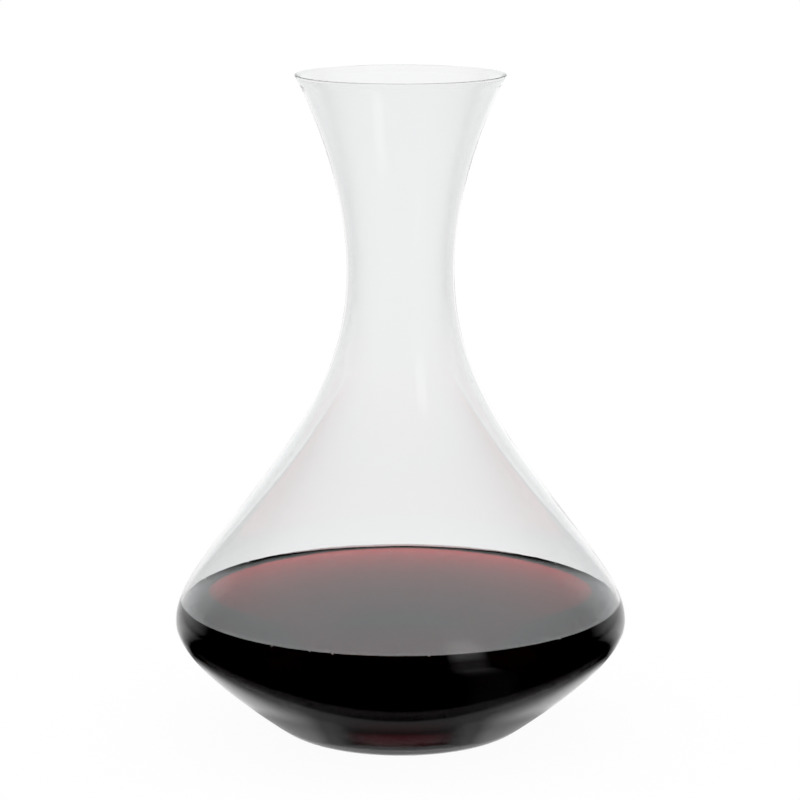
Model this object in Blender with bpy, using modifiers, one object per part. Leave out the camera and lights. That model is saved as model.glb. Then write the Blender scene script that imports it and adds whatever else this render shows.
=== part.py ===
"""Wine decanter: a blown glass vessel on a flat base, holding its fill of red wine.

Metres, +Z up. The origin is on the table under the middle of the base.
"""
import math

import bmesh
import bpy

# The outside of the vessel, as radius and height at each place a maker would measure
MOUTH = (0.0397, 0.2526)
NECK = (0.0204, 0.1781)
SHOULDER = (0.0620, 0.0851)
BELLY = (0.0867, 0.0431)

# Slopes of the outside, up from level: at the rim, where the shoulder turns over, at the heel
MOUTH_SLOPE = math.radians(63.6)
SHOULDER_SLOPE = math.radians(53.2)
HEEL_SLOPE = math.radians(36.4)

# How far each slope is held before the line bends away
MOUTH_REACH = 0.0365
SHOULDER_REACH_UP = 0.0380
SHOULDER_REACH_DOWN = 0.0288
HEEL_REACH = 0.0450

# Base: a flat ring the vessel stands on, a rounded heel and a shallow hollow underneath
BASE_RADIUS = 0.0398
HEEL_RADIUS = 0.0146
PUNT_RADIUS = 0.0315
PUNT_RISE = 0.0012

# Glass thickness: thin at the fire-polished rim, thicker towards the base
RIM_WALL = 0.0008
NECK_WALL = 0.0010
BELLY_WALL = 0.0012
HEEL_WALL = 0.0030
FLOOR_HEIGHT = 0.0040

# The wine fills the vessel to just above its widest part
WINE_LEVEL = 0.0507
WINE_GAP = 0.0003

STEPS = 48


def along(point, slope, distance):
    """The point a distance further up a slope that leans in towards the axis."""
    return (point[0] - distance * math.cos(slope), point[1] + distance * math.sin(slope))


def bezier(start, start_handle, end_handle, end, count, crowding=1.0):
    """Points of one cubic curve, without its first point.

    Crowding over 1 brings the points together near the start, and under 1 near the end.
    """
    points = []
    for step in range(1, count + 1):
        t = (step / count) ** crowding
        weights = ((1 - t) ** 3, 3 * (1 - t) ** 2 * t, 3 * (1 - t) * t ** 2, t ** 3)
        corners = (start, start_handle, end_handle, end)
        points.append(tuple(sum(w * c[axis] for w, c in zip(weights, corners)) for axis in (0, 1)))
    return points


def outer_side():
    """The outside from the rim down to the start of the heel, as (radius, height).

    The four curves meet at the neck, the shoulder and the belly. At the shoulder the line is
    straight for a moment, as it turns from hollow to full. At the neck and the belly both sides
    bend equally, so no ring shows in the glass.
    """
    shoulder_up = along(SHOULDER, SHOULDER_SLOPE, SHOULDER_REACH_UP)
    shoulder_down = along(SHOULDER, SHOULDER_SLOPE, -SHOULDER_REACH_DOWN)
    under_neck = (NECK[0], SHOULDER[1] + (SHOULDER[0] - NECK[0]) * math.tan(SHOULDER_SLOPE))
    over_belly = (BELLY[0], SHOULDER[1] + (SHOULDER[0] - BELLY[0]) * math.tan(SHOULDER_SLOPE))

    mouth_handle = (MOUTH[0] - MOUTH_REACH * math.cos(MOUTH_SLOPE),
                    MOUTH[1] - MOUTH_REACH * math.sin(MOUTH_SLOPE))
    neck_bend = math.sqrt((mouth_handle[0] - NECK[0]) / (shoulder_up[0] - NECK[0]))
    over_neck = (NECK[0], NECK[1] + (NECK[1] - under_neck[1]) * neck_bend)

    heel = (BASE_RADIUS + HEEL_RADIUS * math.sin(HEEL_SLOPE), HEEL_RADIUS * (1 - math.cos(HEEL_SLOPE)))
    heel_handle = (heel[0] + HEEL_REACH * math.cos(HEEL_SLOPE),
                   heel[1] + HEEL_REACH * math.sin(HEEL_SLOPE))
    belly_bend = math.sqrt((BELLY[0] - heel_handle[0]) / (BELLY[0] - shoulder_down[0]))
    under_belly = (BELLY[0], BELLY[1] - (over_belly[1] - BELLY[1]) * belly_bend)

    points = [MOUTH]
    points += bezier(MOUTH, mouth_handle, over_neck, NECK, 7)
    points += bezier(NECK, under_neck, shoulder_up, SHOULDER, 9)
    points += bezier(SHOULDER, shoulder_down, over_belly, BELLY, 6)
    points += bezier(BELLY, under_belly, heel_handle, heel, 9, crowding=1.2)
    return points


def wall(height):
    """Glass thickness at a height on the outside."""
    stations = ((0.0, HEEL_WALL), (BELLY[1], BELLY_WALL), (NECK[1], NECK_WALL), (MOUTH[1], RIM_WALL))
    for (low, low_wall), (high, high_wall) in zip(stations, stations[1:]):
        if height < high:
            return low_wall + (high_wall - low_wall) * (height - low) / (high - low)
    return RIM_WALL


def inset(points, thickness):
    """Each point of a line that runs down the outside, moved square to it into the vessel."""
    moved = []
    for index, (radius, height) in enumerate(points):
        before = points[max(index - 1, 0)]
        after = points[min(index + 1, len(points) - 1)]
        run = (after[0] - before[0], after[1] - before[1])
        depth = thickness(height) / math.hypot(*run)
        moved.append((radius + run[1] * depth, height - run[0] * depth))
    return moved


def floor(heel, height):
    """The inside floor: it leaves the end of the heel and runs level to the axis."""
    corner = (heel[0] - (heel[1] - height) / math.tan(HEEL_SLOPE), height)
    return bezier(heel, corner, (corner[0] * 0.8, height), (0.0, height), 4)


def turned(name, outline, color, roughness, transmission):
    """A solid turned about +Z from an outline whose two ends lie on the axis."""
    mesh = bpy.data.meshes.new(name)
    bm = bmesh.new()
    verts = [bm.verts.new((radius, 0.0, height)) for radius, height in outline]
    for first, second in zip(verts, verts[1:]):
        bm.edges.new((first, second))
    bm.to_mesh(mesh)
    bm.free()

    solid = bpy.data.objects.new(name, mesh)
    decanter.objects.link(solid)
    screw = solid.modifiers.new("turn", "SCREW")
    screw.axis = "Z"
    screw.angle = math.tau
    screw.steps = STEPS
    screw.render_steps = STEPS
    screw.use_merge_vertices = True
    screw.merge_threshold = 0.00001

    material = bpy.data.materials.new(name)
    material.use_nodes = True
    shader = material.node_tree.nodes["Principled BSDF"]
    shader.inputs["Base Color"].default_value = (*color, 1.0)
    shader.inputs["Roughness"].default_value = roughness
    shader.inputs["Transmission Weight"].default_value = transmission
    mesh.materials.append(material)

    bpy.context.view_layer.objects.active = solid
    solid.select_set(True)
    bpy.ops.object.shade_smooth()
    mesh.set_sharp_from_angle(angle=math.radians(40))
    solid.select_set(False)
    return solid


for old in list(bpy.data.objects):
    bpy.data.objects.remove(old, do_unlink=True)

decanter = bpy.data.collections.new("wine_decanter")
bpy.context.scene.collection.children.link(decanter)

# The vessel: one piece of blown glass. Its outline starts in the middle of the inside floor,
# climbs the inside wall, rolls over the rim, runs down the outside and ends under the punt.
outside = outer_side()
inside = inset(outside, wall)

lip_middle = MOUTH[0] - RIM_WALL / 2
lip = []
for step in range(5):
    angle = math.pi - math.pi * step / 4
    lip.append((lip_middle + RIM_WALL / 2 * math.cos(angle),
                MOUTH[1] - RIM_WALL / 2 * (1 - math.sin(angle))))

underside = []
for turn in (HEEL_SLOPE * 2 / 3, HEEL_SLOPE / 3, 0.0):
    underside.append((BASE_RADIUS + HEEL_RADIUS * math.sin(turn), HEEL_RADIUS * (1 - math.cos(turn))))
underside += [
    (PUNT_RADIUS, 0.0),
    (PUNT_RADIUS * 0.8, PUNT_RISE * 0.75),
    (PUNT_RADIUS * 0.4, PUNT_RISE),
    (0.0, PUNT_RISE),
]
inside_floor = floor(inside[-1], FLOOR_HEIGHT)
vessel_outline = inside_floor[::-1] + inside[:0:-1] + lip + outside[1:] + underside
turned("glass_vessel", vessel_outline, (0.93, 0.95, 0.95), 0.02, 1.0)

# The wine: it stands inside the glass with a flat top, a hair clear of the wall all round.
wetted = inset(inside, lambda height: WINE_GAP)
above = [point for point in wetted if point[1] > WINE_LEVEL][-1]
below = [point for point in wetted if point[1] < WINE_LEVEL - WINE_GAP]
share = (WINE_LEVEL - below[0][1]) / (above[1] - below[0][1])
edge = (below[0][0] + (above[0] - below[0][0]) * share, WINE_LEVEL)
wine_floor = floor(below[-1], FLOOR_HEIGHT + WINE_GAP)
wine_outline = [(0.0, WINE_LEVEL), edge] + below + wine_floor
turned("wine", wine_outline, (0.16, 0.01, 0.02), 0.05, 0.0)
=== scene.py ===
"""Wine decanter: a blown glass vessel, the red wine in it and the bubbles on the wine.

Metres, +Z up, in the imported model's own frame, with the origin on the table under the base.
"""
import math

import bmesh
import bpy
from mathutils import Matrix


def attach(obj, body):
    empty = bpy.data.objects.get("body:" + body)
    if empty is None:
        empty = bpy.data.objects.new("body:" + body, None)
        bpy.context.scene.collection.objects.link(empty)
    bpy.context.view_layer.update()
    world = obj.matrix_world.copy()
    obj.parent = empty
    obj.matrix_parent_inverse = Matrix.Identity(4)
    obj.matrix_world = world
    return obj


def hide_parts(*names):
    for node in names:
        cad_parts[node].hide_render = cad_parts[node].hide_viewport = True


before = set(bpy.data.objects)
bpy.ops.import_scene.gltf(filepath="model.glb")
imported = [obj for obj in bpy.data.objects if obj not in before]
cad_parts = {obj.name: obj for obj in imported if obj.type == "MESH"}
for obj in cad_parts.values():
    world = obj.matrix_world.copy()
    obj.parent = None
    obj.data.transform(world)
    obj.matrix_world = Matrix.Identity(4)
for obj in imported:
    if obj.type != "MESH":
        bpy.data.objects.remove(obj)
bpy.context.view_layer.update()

# ---- Glass vessel -------------------------------------------------------------------------
# One piece of clear glass, blown and turned in a mould. The maker cracks it off at
# the mouth and polishes the rim round in a flame. The wall is thin above and thickens to a
# heavy base, which stands on a narrow ring round a shallow hollow.

# The outside, as radius and height at each place a maker would measure
MOUTH = (0.0397, 0.2526)
NECK = (0.0204, 0.1781)
SHOULDER = (0.0620, 0.0851)
BELLY = (0.0867, 0.0431)
MOUTH_SLOPE = math.radians(63.6)
SHOULDER_SLOPE = math.radians(53.2)
HEEL_SLOPE = math.radians(36.4)
MOUTH_REACH = 0.0365
SHOULDER_REACH_UP = 0.0380
SHOULDER_REACH_DOWN = 0.0288
HEEL_REACH = 0.0450
BASE_RADIUS = 0.0398
HEEL_RADIUS = 0.0146
PUNT_RADIUS = 0.0315
PUNT_RISE = 0.0012

# Where the hollow and the inside floor bend, as shares of their radius
PUNT_EDGE = 0.85
PUNT_CROWN = 0.6
FLOOR_EDGE = 0.8

# Glass thickness at the rim, neck, belly and heel, and the height of the inside floor
RIM_WALL = 0.0008
NECK_WALL = 0.0010
BELLY_WALL = 0.0012
HEEL_WALL = 0.0030
FLOOR_HEIGHT = 0.0040

# Steps along each stretch of the outline and round the axis
FLARE_STEPS = 26
NECK_STEPS = 30
SHOULDER_STEPS = 26
BELLY_STEPS = 34
LIP_STEPS = 12
HEEL_STEPS = 10
PUNT_STEPS = 14
FLOOR_STEPS = 16
TURNS = 192
SHARP_ANGLE = math.radians(30)


def along(point, slope, distance):
    """The point a distance further up a slope that leans in towards the axis."""
    return (point[0] - distance * math.cos(slope), point[1] + distance * math.sin(slope))


def sweep(start, start_handle, end_handle, end, count):
    """Points of one smooth curve, without its first point."""
    points = []
    for step in range(1, count + 1):
        t = step / count
        weights = ((1 - t) ** 3, 3 * (1 - t) ** 2 * t, 3 * (1 - t) * t ** 2, t ** 3)
        corners = (start, start_handle, end_handle, end)
        points.append(tuple(sum(w * c[axis] for w, c in zip(weights, corners)) for axis in (0, 1)))
    return points


def outside_wall():
    """The outside from the rim down to the start of the heel."""
    shoulder_up = along(SHOULDER, SHOULDER_SLOPE, SHOULDER_REACH_UP)
    shoulder_down = along(SHOULDER, SHOULDER_SLOPE, -SHOULDER_REACH_DOWN)
    under_neck = (NECK[0], SHOULDER[1] + (SHOULDER[0] - NECK[0]) * math.tan(SHOULDER_SLOPE))
    over_belly = (BELLY[0], SHOULDER[1] + (SHOULDER[0] - BELLY[0]) * math.tan(SHOULDER_SLOPE))

    mouth_handle = (MOUTH[0] - MOUTH_REACH * math.cos(MOUTH_SLOPE),
                    MOUTH[1] - MOUTH_REACH * math.sin(MOUTH_SLOPE))
    neck_bend = math.sqrt((mouth_handle[0] - NECK[0]) / (shoulder_up[0] - NECK[0]))
    over_neck = (NECK[0], NECK[1] + (NECK[1] - under_neck[1]) * neck_bend)

    heel = (BASE_RADIUS + HEEL_RADIUS * math.sin(HEEL_SLOPE), HEEL_RADIUS * (1 - math.cos(HEEL_SLOPE)))
    heel_handle = (heel[0] + HEEL_REACH * math.cos(HEEL_SLOPE),
                   heel[1] + HEEL_REACH * math.sin(HEEL_SLOPE))
    belly_bend = math.sqrt((BELLY[0] - heel_handle[0]) / (BELLY[0] - shoulder_down[0]))
    under_belly = (BELLY[0], BELLY[1] - (over_belly[1] - BELLY[1]) * belly_bend)

    points = [MOUTH]
    points += sweep(MOUTH, mouth_handle, over_neck, NECK, FLARE_STEPS)
    points += sweep(NECK, under_neck, shoulder_up, SHOULDER, NECK_STEPS)
    points += sweep(SHOULDER, shoulder_down, over_belly, BELLY, SHOULDER_STEPS)
    points += sweep(BELLY, under_belly, heel_handle, heel, BELLY_STEPS)
    return points


def wall(height):
    """Glass thickness at a height on the outside."""
    stations = ((0.0, HEEL_WALL), (BELLY[1], BELLY_WALL), (NECK[1], NECK_WALL), (MOUTH[1], RIM_WALL))
    for (low, low_wall), (high, high_wall) in zip(stations, stations[1:]):
        if height < high:
            return low_wall + (high_wall - low_wall) * (height - low) / (high - low)
    return RIM_WALL


def inset(points, thickness):
    """Each point of a line that runs down the outside, moved square to it into the vessel."""
    moved = []
    for index, (radius, height) in enumerate(points):
        before = points[max(index - 1, 0)]
        after = points[min(index + 1, len(points) - 1)]
        run = (after[0] - before[0], after[1] - before[1])
        depth = thickness(height) / math.hypot(*run)
        moved.append((radius + run[1] * depth, height - run[0] * depth))
    return moved


def inside_floor(heel, height):
    """The inside floor: it leaves the end of the heel and runs level to the axis."""
    corner = (heel[0] - (heel[1] - height) / math.tan(HEEL_SLOPE), height)
    return sweep(heel, corner, (corner[0] * FLOOR_EDGE, height), (0.0, height), FLOOR_STEPS)


def turned(name, outline):
    """A closed solid spun about +Z from an outline whose two ends lie on the axis."""
    bm = bmesh.new()
    verts = [bm.verts.new((radius, 0.0, height)) for radius, height in outline]
    edges = [bm.edges.new(pair) for pair in zip(verts, verts[1:])]
    bmesh.ops.spin(bm, geom=verts + edges, cent=(0, 0, 0), axis=(0, 0, 1), angle=math.tau,
                   steps=TURNS, use_merge=True)
    bmesh.ops.remove_doubles(bm, verts=bm.verts, dist=1e-6)
    bmesh.ops.recalc_face_normals(bm, faces=bm.faces)
    for face in bm.faces:
        face.smooth = True
    for edge in bm.edges:
        edge.smooth = edge.calc_face_angle() < SHARP_ANGLE
    mesh = bpy.data.meshes.new(name)
    bm.to_mesh(mesh)
    bm.free()
    piece = bpy.data.objects.new(name, mesh)
    bpy.context.scene.collection.objects.link(piece)
    return piece


outside = outside_wall()
inside = inset(outside, wall)

lip = []
lip_radius = RIM_WALL / 2
for step in range(LIP_STEPS + 1):
    angle = math.pi - math.pi * step / LIP_STEPS
    lip.append((MOUTH[0] - lip_radius + lip_radius * math.cos(angle),
                MOUTH[1] - lip_radius * (1 - math.sin(angle))))

heel_arc = []
for step in range(HEEL_STEPS - 1, -1, -1):
    angle = HEEL_SLOPE * step / HEEL_STEPS
    heel_arc.append((BASE_RADIUS + HEEL_RADIUS * math.sin(angle), HEEL_RADIUS * (1 - math.cos(angle))))

punt = [(PUNT_RADIUS, 0.0)]
punt += sweep(punt[0], (PUNT_RADIUS * PUNT_EDGE, 0.0), (PUNT_RADIUS * PUNT_CROWN, PUNT_RISE),
              (0.0, PUNT_RISE), PUNT_STEPS)

outline = inside_floor(inside[-1], FLOOR_HEIGHT)[::-1] + inside[:0:-1]
outline += lip + outside[1:] + heel_arc + punt
vessel = turned("glass_vessel_blown", outline)

# Clear glass with a very faint blue in it. Blowing leaves soft streaks that climb the wall,
# and handling leaves a slight bloom that dulls the polish in patches.
clear_glass = bpy.data.materials.new("clear_blown_glass")
clear_glass.use_nodes = True
nodes = clear_glass.node_tree.nodes
links = clear_glass.node_tree.links
glass_shader = nodes["Principled BSDF"]
glass_shader.inputs["Base Color"].default_value = (0.995, 0.998, 1.0, 1.0)
glass_shader.inputs["IOR"].default_value = 1.48
glass_shader.inputs["Transmission Weight"].default_value = 1.0

place = nodes.new("ShaderNodeTexCoord")
stretch = nodes.new("ShaderNodeMapping")
stretch.inputs["Scale"].default_value = (1.0, 1.0, 0.12)
links.new(place.outputs["Object"], stretch.inputs["Vector"])

streaks = nodes.new("ShaderNodeTexNoise")
streaks.inputs["Scale"].default_value = 70.0
streaks.inputs["Detail"].default_value = 1.5
links.new(stretch.outputs["Vector"], streaks.inputs["Vector"])
ripple = nodes.new("ShaderNodeBump")
ripple.inputs["Strength"].default_value = 0.35
ripple.inputs["Distance"].default_value = 0.00012
links.new(streaks.outputs["Fac"], ripple.inputs["Height"])
links.new(ripple.outputs["Normal"], glass_shader.inputs["Normal"])

bloom = nodes.new("ShaderNodeTexNoise")
bloom.inputs["Scale"].default_value = 24.0
bloom.inputs["Detail"].default_value = 4.0
links.new(place.outputs["Object"], bloom.inputs["Vector"])
polish = nodes.new("ShaderNodeMapRange")
polish.inputs["From Min"].default_value = 0.35
polish.inputs["From Max"].default_value = 0.75
polish.inputs["To Min"].default_value = 0.0
polish.inputs["To Max"].default_value = 0.02
links.new(bloom.outputs["Fac"], polish.inputs["Value"])
links.new(polish.outputs["Result"], glass_shader.inputs["Roughness"])

vessel.data.materials.append(clear_glass)
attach(vessel, "root")
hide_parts("glass_vessel")

# ---- Wine ---------------------------------------------------------------------------------
# The fill of young red wine, poured in up to just above the belly. It wets the glass, so its
# side lies against the wall, and it climbs the wall a little all round its top.

# Height of its edge, where it meets the glass
WATERLINE = 0.0508

# How far it climbs, in a broad curve and then in a film at its very edge, and how far in from
# the wall each of them has fallen to about a third
CLIMB = 0.00070
CAPILLARY = 0.0022
FILM_CLIMB = 0.00050
FILM = 0.00035

# How far it reaches into the wall, so that no air shows between the two
CONTACT = 0.00006

# The width of the curved edge of the top, and the steps across it
CURVED_EDGE = CAPILLARY * 6
EDGE_STEPS = 40

wall_line = inset(inside, lambda height: -CONTACT)
wet_wall = [point for point in wall_line if point[1] < WATERLINE]
last_dry = [point for point in wall_line if point[1] >= WATERLINE][-1]
share = (WATERLINE - wet_wall[0][1]) / (last_dry[1] - wet_wall[0][1])
edge = (wet_wall[0][0] + (last_dry[0] - wet_wall[0][0]) * share, WATERLINE)

top = [(0.0, WATERLINE - CLIMB - FILM_CLIMB)]
for step in range(EDGE_STEPS, 0, -1):
    away = CURVED_EDGE * (step / EDGE_STEPS) ** 2
    climbed = CLIMB * math.exp(-away / CAPILLARY) + FILM_CLIMB * math.exp(-away / FILM)
    top.append((edge[0] - away, top[0][1] + climbed))
wine_outline = top + [edge] + wet_wall + inside_floor(wet_wall[-1], FLOOR_HEIGHT - CONTACT)
wine = turned("wine_fill", wine_outline)

red_wine = bpy.data.materials.new("red_wine")
red_wine.use_nodes = True
nodes = red_wine.node_tree.nodes
links = red_wine.node_tree.links
wine_shader = nodes["Principled BSDF"]
wine_shader.inputs["Base Color"].default_value = (0.75, 0.7, 0.7, 1.0)
wine_shader.inputs["IOR"].default_value = 1.345
wine_shader.inputs["Transmission Weight"].default_value = 1.0

place = nodes.new("ShaderNodeTexCoord")
swirls = nodes.new("ShaderNodeTexNoise")
swirls.inputs["Scale"].default_value = 18.0
links.new(place.outputs["Object"], swirls.inputs["Vector"])
film = nodes.new("ShaderNodeMapRange")
film.inputs["From Min"].default_value = 0.40
film.inputs["From Max"].default_value = 0.80
film.inputs["To Min"].default_value = 0.0
film.inputs["To Max"].default_value = 0.015
links.new(swirls.outputs["Fac"], film.inputs["Value"])
links.new(film.outputs["Result"], wine_shader.inputs["Roughness"])
ripple = nodes.new("ShaderNodeBump")
ripple.inputs["Strength"].default_value = 0.10
ripple.inputs["Distance"].default_value = 0.00010
links.new(swirls.outputs["Fac"], ripple.inputs["Height"])
links.new(ripple.outputs["Normal"], wine_shader.inputs["Normal"])

depth = nodes.new("ShaderNodeVolumeAbsorption")
depth.inputs["Color"].default_value = (0.84, 0.12, 0.10, 1.0)
depth.inputs["Density"].default_value = 320.0
links.new(depth.outputs["Volume"], nodes["Material Output"].inputs["Volume"])

wine.data.materials.append(red_wine)
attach(wine, "root")
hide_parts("wine")

# ---- Bubbles ------------------------------------------------------------------------------
# A few beads of air left from pouring. They cling to the glass where the edge of the wine meets
# it. Each is set a little into the wall, so that it looks pressed flat, and its skin is milky.

# Bearings run in degrees round from the front, and a bead's place is in shares of its radius
BUBBLE_RADII = (0.00042, 0.00034, 0.00038, 0.00030, 0.00036)
BUBBLE_BEARINGS = (-34, -23, -17, 7, 44, 96, 131, 152, 203, 228, 249)
BUBBLE_IN = 0.6
BUBBLE_DOWN = 0.8

bm = bmesh.new()
for count, bearing in enumerate(BUBBLE_BEARINGS):
    size = BUBBLE_RADII[count % len(BUBBLE_RADII)]
    out = edge[0] - size * BUBBLE_IN
    height = WATERLINE - size * BUBBLE_DOWN
    turn = math.radians(bearing - 90)
    seat = Matrix.Translation((out * math.cos(turn), out * math.sin(turn), height))
    bmesh.ops.create_icosphere(bm, subdivisions=2, radius=size, matrix=seat)
for face in bm.faces:
    face.smooth = True
mesh = bpy.data.meshes.new("wine_bubbles")
bm.to_mesh(mesh)
bm.free()
bubbles = bpy.data.objects.new("wine_bubbles", mesh)
bpy.context.scene.collection.objects.link(bubbles)

bubble_skin = bpy.data.materials.new("wine_bubble_skin")
bubble_skin.use_nodes = True
nodes = bubble_skin.node_tree.nodes
links = bubble_skin.node_tree.links
skin_shader = nodes["Principled BSDF"]
skin_shader.inputs["IOR"].default_value = 1.34
skin_shader.inputs["Transmission Weight"].default_value = 0.3
place = nodes.new("ShaderNodeTexCoord")
drain = nodes.new("ShaderNodeTexNoise")
drain.inputs["Scale"].default_value = 900.0
links.new(place.outputs["Object"], drain.inputs["Vector"])
tint = nodes.new("ShaderNodeValToRGB")
tint.color_ramp.elements[0].color = (0.95, 0.80, 0.80, 1.0)
tint.color_ramp.elements[1].color = (1.0, 0.97, 0.97, 1.0)
links.new(drain.outputs["Fac"], tint.inputs["Fac"])
links.new(tint.outputs["Color"], skin_shader.inputs["Base Color"])
wet = nodes.new("ShaderNodeMapRange")
wet.inputs["To Min"].default_value = 0.02
wet.inputs["To Max"].default_value = 0.10
links.new(drain.outputs["Fac"], wet.inputs["Value"])
links.new(wet.outputs["Result"], skin_shader.inputs["Roughness"])
pucker = nodes.new("ShaderNodeBump")
pucker.inputs["Strength"].default_value = 0.20
pucker.inputs["Distance"].default_value = 0.00002
links.new(drain.outputs["Fac"], pucker.inputs["Height"])
links.new(pucker.outputs["Normal"], skin_shader.inputs["Normal"])

mesh.materials.append(bubble_skin)
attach(bubbles, "root")

# ---- Table, light and camera --------------------------------------------------------------
# A pale table in a white room. What the glass and wine reflect is darker: a bright wall at the far side
# only, a dark near side, and one tall soft light at the front on the right.
# The table is no lamp but glows. Seen straight it is evenly white. In reflections it shows painted light
# and shade round the vessel.

TABLE_RADIUS = 4.0
TABLE_DROP = 0.0001
TABLE_LIGHT = 0.955
TABLE_PAINT = 0.05

# Level directions of the far wall and the soft light, and the angles from each at which its
# light starts and is full
FAR_WALL = (0.015, 0.9999, 0.0)
WALL_ANGLES = (66, 14)
NEAR_TABLE_ANGLES = (72, 53)
SOFT_LIGHT = (0.574, -0.819, 0.0)
SOFT_LIGHT_ANGLES = (11, 4)

bm = bmesh.new()
bmesh.ops.create_circle(bm, cap_ends=True, radius=TABLE_RADIUS, segments=96)
mesh = bpy.data.meshes.new("table")
bm.to_mesh(mesh)
bm.free()
table = bpy.data.objects.new("table", mesh)
table.location.z = -TABLE_DROP
bpy.context.scene.collection.objects.link(table)


def number(nodes, links, operation, first, second):
    """A Math node on two values, each a socket or a plain number."""
    worked_out = nodes.new("ShaderNodeMath")
    worked_out.operation = operation
    for socket, value in zip(worked_out.inputs, (first, second)):
        if isinstance(value, float):
            socket.default_value = value
        else:
            links.new(value, socket)
    return worked_out.outputs["Value"]


def straight_sight(nodes, links):
    """1 where the light was only seen straight or through glass, 0 once it was reflected."""
    path = nodes.new("ShaderNodeLightPath")
    turns = number(nodes, links, "ADD", path.outputs["Glossy Depth"], path.outputs["Diffuse Depth"])
    return number(nodes, links, "LESS_THAN", turns, 0.5)


def ramp(nodes, links, value, start, end, low=0.0, high=1.0):
    """A value taken evenly from one range to another and held at both ends."""
    scale = nodes.new("ShaderNodeMapRange")
    scale.inputs["From Min"].default_value = start
    scale.inputs["From Max"].default_value = end
    scale.inputs["To Min"].default_value = low
    scale.inputs["To Max"].default_value = high
    links.new(value, scale.inputs["Value"])
    return scale.outputs["Result"]


def fade(nodes, links, value, start, end, low=0.0, high=1.0):
    """A tone that comes in softly as a value falls from one number to another."""
    tone = ramp(nodes, links, value, start, end, low, high)
    tone.node.interpolation_type = "SMOOTHSTEP"
    return tone


def facing(nodes, links, direction, axis):
    """How nearly a direction, taken level, points along a level axis: the cosine between them."""
    level = nodes.new("ShaderNodeVectorMath")
    level.operation = "MULTIPLY"
    level.inputs[1].default_value = (1.0, 1.0, 0.0)
    links.new(direction, level.inputs[0])
    unit = nodes.new("ShaderNodeVectorMath")
    unit.operation = "NORMALIZE"
    links.new(level.outputs["Vector"], unit.inputs[0])
    cosine = nodes.new("ShaderNodeVectorMath")
    cosine.operation = "DOT_PRODUCT"
    cosine.inputs[1].default_value = axis
    links.new(unit.outputs["Vector"], cosine.inputs[0])
    return cosine.outputs["Value"]


def light_towards(nodes, links, direction, axis, angles):
    """Brightness round a level axis: none at the first angle from it, all of it at the second."""
    start, full = (math.cos(math.radians(angle)) for angle in angles)
    return ramp(nodes, links, facing(nodes, links, direction, axis), start, full)


table_top = bpy.data.materials.new("table_top")
table_top.use_nodes = True
nodes = table_top.node_tree.nodes
links = table_top.node_tree.links
nodes.clear()
straight = straight_sight(nodes, links)

# A pale disc of painted light on the table round the vessel, seen only in reflections. Its middle is
# behind the axis, and distances across count for less, which makes it wide. Each pair of distances is
# where a tone starts and where it is full.
DISC_ACROSS = (0.9, 1.0, 1.0)
DISC_MIDDLE = (0.0, 0.030, 0.0)
DISC_SOFT_EDGE = (0.098, 0.076)
DISC_CRISP_EDGE = (0.0955, 0.0935)
DISC_CURVE = 1.4
DISC_IN_FRONT = 0.15
HEEL_SHADOW_EDGE = (0.064, 0.055)
BESIDE_EDGE = (0.066, 0.060)
BESIDE = 0.22
PAINTED_HEEL_GLOW_EDGE = (0.051, 0.042)
PAINTED_HEEL_GLOW = 1.30

place = nodes.new("ShaderNodeTexCoord").outputs["Object"]
shortened = nodes.new("ShaderNodeVectorMath")
shortened.operation = "MULTIPLY"
shortened.inputs[1].default_value = DISC_ACROSS
links.new(place, shortened.inputs[0])
from_disc = nodes.new("ShaderNodeVectorMath")
from_disc.operation = "DISTANCE"
from_disc.inputs[1].default_value = DISC_MIDDLE
links.new(shortened.outputs["Vector"], from_disc.inputs[0])
from_disc = from_disc.outputs["Value"]
from_axis = nodes.new("ShaderNodeVectorMath")
from_axis.operation = "LENGTH"
links.new(place, from_axis.inputs[0])
from_axis = from_axis.outputs["Value"]
in_front = facing(nodes, links, place, (0.0, -1.0, 0.0))

# Painted light: bright at the sides and behind, and dim in front, inside a crisp edge
painted_disc = number(nodes, links, "POWER", fade(nodes, links, from_disc, *DISC_SOFT_EDGE), DISC_CURVE)
painted_disc = number(nodes, links, "MULTIPLY", painted_disc, fade(nodes, links, in_front, 0.95, 0.70))
crisp = fade(nodes, links, from_disc, *DISC_CRISP_EDGE, 0.0, DISC_IN_FRONT)
painted_disc = number(nodes, links, "MAXIMUM", painted_disc, crisp)

# A painted shadow of the heel, with a little painted light left at the sides
heel_shadow = fade(nodes, links, from_axis, *HEEL_SHADOW_EDGE)
darkest = ramp(nodes, links, in_front, 0.80, 1.00, 0.55, 0.85)
heel_shadow = number(nodes, links, "MULTIPLY", heel_shadow, darkest)
painted_disc = number(nodes, links, "MULTIPLY", painted_disc, number(nodes, links, "SUBTRACT", 1.0, heel_shadow))
beside = number(nodes, links, "MULTIPLY", fade(nodes, links, in_front, 0.97, 0.85, 0.0, BESIDE),
                fade(nodes, links, from_axis, *BESIDE_EDGE))
painted_disc = number(nodes, links, "MAXIMUM", painted_disc, beside)

# Painted light again under the heel, where light through the glass would fall
painted_heel_glow = fade(nodes, links, from_axis, *PAINTED_HEEL_GLOW_EDGE, 0.0, PAINTED_HEEL_GLOW)
painted_disc = number(nodes, links, "MAXIMUM", painted_disc, painted_heel_glow)

# Past the disc, painted light: the table is bright towards the far wall, with a faint painted pool of
# the soft light.
# Each set is two distances, and the brightness at each where it isn't 0 and 1.
NEAR_TO_FAR = (0.15, 0.60)
PAST_DISC = (0.085, 0.110)
SOFT_LIGHT_PAINTED_ON_TABLE = (0.18, 0.50, 0.01, 0.14)

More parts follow.
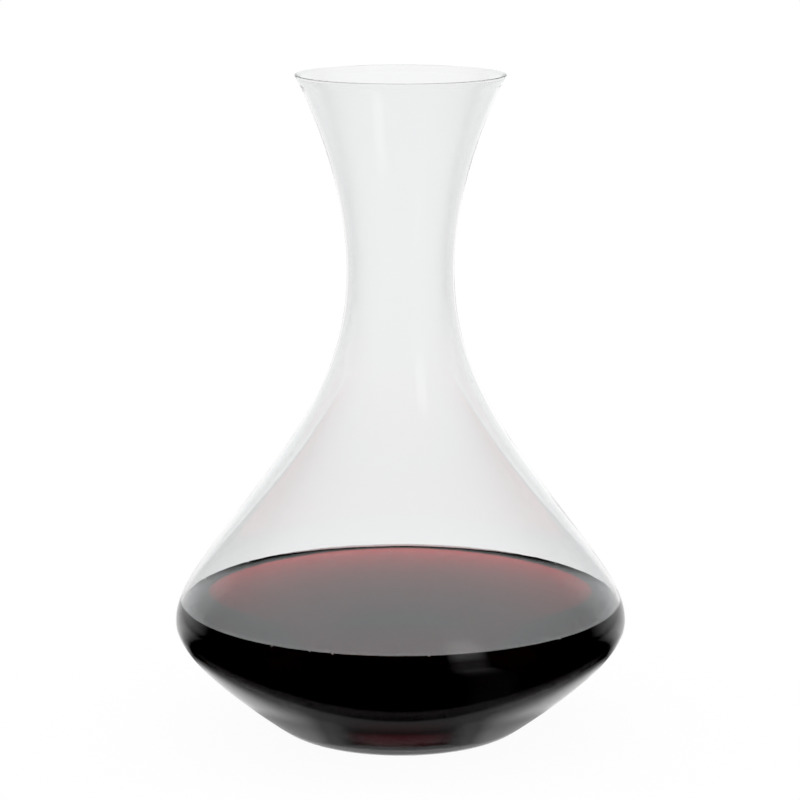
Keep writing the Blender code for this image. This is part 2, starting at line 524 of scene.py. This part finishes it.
near_tone = light_towards(nodes, links, place, FAR_WALL, NEAR_TABLE_ANGLES)
far_tone = light_towards(nodes, links, place, FAR_WALL, WALL_ANGLES)
distant = ramp(nodes, links, from_axis, *NEAR_TO_FAR)
near_tone = number(nodes, links, "MULTIPLY", near_tone, number(nodes, links, "SUBTRACT", 1.0, distant))
far_tone = number(nodes, links, "MULTIPLY", far_tone, distant)
open_table = number(nodes, links, "ADD", near_tone, far_tone)
open_table = number(nodes, links, "MULTIPLY", open_table, ramp(nodes, links, from_disc, *PAST_DISC))
soft_tone = light_towards(nodes, links, place, SOFT_LIGHT, SOFT_LIGHT_ANGLES)
soft_fall = ramp(nodes, links, from_axis, *SOFT_LIGHT_PAINTED_ON_TABLE)
soft_tone = number(nodes, links, "MULTIPLY", soft_tone, soft_fall)
# All the painted light and shade of the table, which only reflections see
reflected = number(nodes, links, "MAXIMUM", painted_disc, number(nodes, links, "MAXIMUM", open_table, soft_tone))

# A painted red glow in a ring on the table just in front, where light through the wine and the heel
# would fall. Only reflections see it.
PAINTED_RED_GLOW = (0.14, 0.008, 0.020, 1.0)
PAINTED_RED_RING_OUTSIDE = (0.0575, 0.0545)
PAINTED_RED_RING_INSIDE = (0.0490, 0.0520)

painted_red_ring = number(nodes, links, "MULTIPLY", fade(nodes, links, from_axis, *PAINTED_RED_RING_OUTSIDE),
                  ramp(nodes, links, from_axis, *PAINTED_RED_RING_INSIDE))
painted_red_ring = number(nodes, links, "MULTIPLY", painted_red_ring, ramp(nodes, links, in_front, 0.90, 0.99))
painted_red_ring = number(nodes, links, "MULTIPLY", painted_red_ring, number(nodes, links, "SUBTRACT", 1.0, straight))
painted_red_glow = nodes.new("ShaderNodeEmission")
painted_red_glow.inputs["Color"].default_value = PAINTED_RED_GLOW
links.new(painted_red_ring, painted_red_glow.inputs["Strength"])

# Seen straight, the table glows almost white and takes a faint shadow on its paint. In reflections it
# glows with the painted light and shade above.
glow = nodes.new("ShaderNodeMix")
glow.inputs["B"].default_value = TABLE_LIGHT
links.new(straight, glow.inputs["Factor"])
links.new(reflected, glow.inputs["A"])
shine = nodes.new("ShaderNodeEmission")
links.new(glow.outputs["Result"], shine.inputs["Strength"])
paint = nodes.new("ShaderNodeBsdfDiffuse")
links.new(number(nodes, links, "MULTIPLY", straight, TABLE_PAINT), paint.inputs["Color"])
both = nodes.new("ShaderNodeAddShader")
links.new(paint.outputs["BSDF"], both.inputs[0])
links.new(shine.outputs["Emission"], both.inputs[1])
all_light = nodes.new("ShaderNodeAddShader")
links.new(both.outputs["Shader"], all_light.inputs[0])
links.new(painted_red_glow.outputs["Emission"], all_light.inputs[1])
finish = nodes.new("ShaderNodeOutputMaterial")
links.new(all_light.outputs["Shader"], finish.inputs["Surface"])
mesh.materials.append(table_top)

# The room is white where it is seen straight or lights the table. In reflections it is the far
# wall, dimmer as it rises, and the soft light, which grows upwards and then ends. Each set is
# two heights, as the sine of the angle up, and the brightness at each where it isn't 0 and 1.
WALL_RISE = (0.28, 0.80, 1.0, 0.06)
SOFT_LIGHT_RISE = (0.25, 0.45, 0.10, 0.55)
SOFT_LIGHT_TOP = (0.68, 0.58)
SCATTERED_LIGHT = 0.5
COOL_WALL = (0.935, 0.958, 0.965, 1.0)
WHITE = (1.0, 1.0, 1.0, 1.0)

room = bpy.data.worlds.new("room")
bpy.context.scene.world = room
room.cycles.sampling_method = "NONE"
room.use_nodes = True
nodes = room.node_tree.nodes
links = room.node_tree.links
direction = nodes.new("ShaderNodeTexCoord").outputs["Generated"]
split = nodes.new("ShaderNodeSeparateXYZ")
links.new(direction, split.inputs["Vector"])
height = split.outputs["Z"]
path = nodes.new("ShaderNodeLightPath")

wall_tone = light_towards(nodes, links, direction, FAR_WALL, WALL_ANGLES)
wall_tone = number(nodes, links, "MULTIPLY", wall_tone, ramp(nodes, links, height, *WALL_RISE))
soft_tone = light_towards(nodes, links, direction, SOFT_LIGHT, SOFT_LIGHT_ANGLES)
soft_tone = number(nodes, links, "MULTIPLY", soft_tone, ramp(nodes, links, height, *SOFT_LIGHT_RISE))
soft_tone = number(nodes, links, "MULTIPLY", soft_tone, fade(nodes, links, height, *SOFT_LIGHT_TOP))
reflected_twice = number(nodes, links, "GREATER_THAN", path.outputs["Glossy Depth"], 1.5)
scattered = number(nodes, links, "MULTIPLY", reflected_twice, SCATTERED_LIGHT)
lit_table = number(nodes, links, "GREATER_THAN", path.outputs["Diffuse Depth"], 0.5)
straight = straight_sight(nodes, links)
light = number(nodes, links, "MAXIMUM", straight, lit_table)
for tone in (wall_tone, soft_tone, scattered):
    light = number(nodes, links, "MAXIMUM", light, tone)
links.new(light, nodes["Background"].inputs["Strength"])
cool_wall = nodes.new("ShaderNodeValToRGB")
cool_wall.color_ramp.elements[0].color = COOL_WALL
cool_wall.color_ramp.elements[1].color = WHITE
links.new(straight, cool_wall.inputs["Fac"])
links.new(cool_wall.outputs["Color"], nodes["Background"].inputs["Color"])

# The camera stands in front, above the rim, and looks a little down
CAMERA_PLACE = (-0.0002, -1.1704, 0.3596)
CAMERA_DOWN = 11.18

lens = bpy.data.cameras.new("camera")
lens.lens = 140.64
lens.sensor_width = 36.0
camera = bpy.data.objects.new("camera", lens)
camera.location = CAMERA_PLACE
camera.rotation_euler = (math.radians(90 - CAMERA_DOWN), 0.0, 0.0)
bpy.context.scene.collection.objects.link(camera)
bpy.context.scene.camera = camera
bpy.context.scene.view_settings.view_transform = "Standard"
bpy.context.scene.cycles.max_bounces = 24
bpy.context.scene.cycles.transmission_bounces = 24
bpy.context.scene.cycles.glossy_bounces = 12
